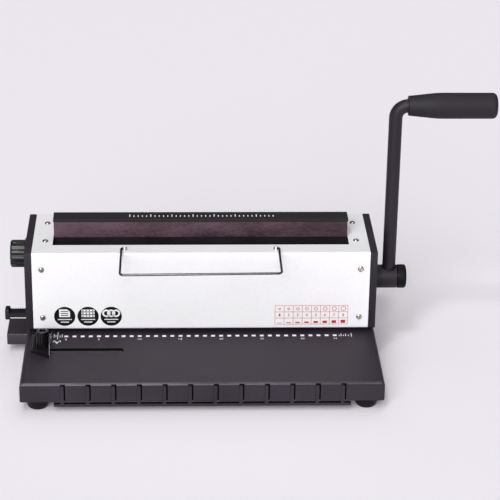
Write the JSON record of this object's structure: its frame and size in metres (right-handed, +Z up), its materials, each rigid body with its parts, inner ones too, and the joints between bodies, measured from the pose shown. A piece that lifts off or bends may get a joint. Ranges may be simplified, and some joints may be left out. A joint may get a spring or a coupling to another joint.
{
  "type": "manual wire binding machine",
  "caption": "Bench machine that punches a row of square holes in paper and closes a wire comb, worked by one side lever, with chip tray, edge guide and size knob.",
  "frame": {"origin": "middle of the bounding box, on the bench", "axes": "+X along the machine towards the lever, +Y from the user to the back, +Z up"},
  "size_m": [0.5068, 0.2172, 0.2808],
  "materials": {
    "white_paint": "smooth white powder coat",
    "black_paint": "black powder coat",
    "black_plastic": "fine textured black moulding",
    "gloss_plastic": "polished black moulding",
    "foam_rubber": "matt black grip",
    "foot_rubber": "smooth black rubber",
    "bright_steel": "plain or plated steel",
    "black_steel": "blackened steel",
    "bronze": "plain sintered bearing",
    "magnet_rubber": "brown flexible magnet",
    "clear_plastic": "clear sheet"
  },
  "bodies": {
    "frame": {"base": "black_plastic", "foot_front_left": "foot_rubber", "foot_front_right": "foot_rubber", "foot_rear_left": "foot_rubber", "foot_rear_right": "foot_rubber", "side_plate_left": "black_paint", "side_plate_right": "black_paint", "front_cover": "white_paint", "rear_cover": "white_paint", "cover_bracket_left": "bright_steel", "cover_bracket_right": "bright_steel", "front_screw_upper_left": "bright_steel", "front_screw_upper_right": "bright_steel", "front_screw_lower_left": "bright_steel", "front_screw_lower_right": "bright_steel", "top_screw_front_left": "bright_steel", "top_screw_front_right": "bright_steel", "top_screw_rear_left": "bright_steel", "top_screw_rear_right": "bright_steel", "rear_screw_left": "bright_steel", "rear_screw_right": "bright_steel", "bush_left": "bronze", "bush_right": "bronze", "selector_dial": "black_paint", "punch_guide": "bright_steel", "die_plate": "bright_steel", "fixed_jaw": "black_steel", "trough_floor": "black_steel", "press_rail_left": "bright_steel", "press_rail_right": "bright_steel", "return_spring": "bright_steel", "rear_tie_bar": "bright_steel"},
    "lever": {"lever_shaft": "bright_steel", "lever_hub": "black_paint", "hub_cap": "black_paint", "lever_tube": "black_paint", "lever_grip": "foam_rubber", "punch_eccentric_left": "black_steel", "punch_eccentric_right": "black_steel", "press_eccentric_left": "black_steel", "press_eccentric_right": "black_steel", "stop_plate": "black_steel"},
    "punch": {"punch_bar": "bright_steel", "punch_yoke_left": "black_steel", "punch_yoke_right": "black_steel"},
    "press": {"press_bar": "black_steel", "magnet_strip": "magnet_rubber", "press_fork_left": "black_steel", "press_fork_right": "black_steel"},
    "selector": {"selector_knob": "gloss_plastic", "selector_shaft": "bright_steel"},
    "tray": {"chip_tray": "black_plastic"},
    "margin": {"margin_slide": "gloss_plastic"},
    "stop_bar": {"back_stop": "bright_steel"},
    "guide": {"guide_bracket": "gloss_plastic", "guide_fence": "clear_plastic"},
    "clamp": {"guide_knob": "gloss_plastic"},
    "holder": {"wire_holder": "bright_steel"}
  },
  "joints": [
    {"name": "lever_swing", "type": "hinge", "parent": "frame", "child": "lever", "pos_m": [0.1501, 0.04765, 0.0754], "axis": [1, 0, 0], "range_deg": [0, 85], "stiffness_Nm_per_rad": 1.4, "springref_deg": -34.38},
    {"name": "punch_slide", "type": "slide", "parent": "frame", "child": "punch", "axis": [0, 0, -1], "range_m": [0, 0.0075]},
    {"name": "press_slide", "type": "slide", "parent": "frame", "child": "press", "axis": [0, -1, 0], "range_m": [0, 0.012]},
    {"name": "selector_turn", "type": "hinge", "parent": "frame", "child": "selector", "pos_m": [-0.2307, 0.06065, 0.097], "axis": [-1, 0, 0], "range_deg": [0, 270]},
    {"name": "tray_slide", "type": "slide", "parent": "frame", "child": "tray", "axis": [-1, 0, 0], "range_m": [0, 0.3]},
    {"name": "margin_pull", "type": "slide", "parent": "frame", "child": "margin", "axis": [-1, 0, 0], "range_m": [0, 0.009]},
    {"name": "back_stop_slide", "type": "slide", "parent": "frame", "child": "stop_bar", "axis": [0, 1, 0], "range_m": [0, 0.003]},
    {"name": "guide_slide", "type": "slide", "parent": "frame", "child": "guide", "axis": [1, 0, 0], "range_m": [0, 0.078]},
    {"name": "guide_knob_turn", "type": "hinge", "parent": "guide", "child": "clamp", "pos_m": [-0.2111, -0.03595, 0.0372], "axis": [0, 0, 1], "range_deg": [0, 180]},
    {"name": "wire_holder_swing", "type": "hinge", "parent": "frame", "child": "holder", "pos_m": [-0.0486, 0.01165, 0.12485], "axis": [-1, 0, 0], "range_deg": [0, 110]}
  ],
  "couplings": [
    {"joint": "punch_slide", "follows": "lever_swing", "m_per_rad": 0.005055},
    {"joint": "press_slide", "follows": "lever_swing", "m_per_rad": 0.008088},
    {"joint": "back_stop_slide", "follows": "margin_pull", "ratio": 0.3333}
  ]
}
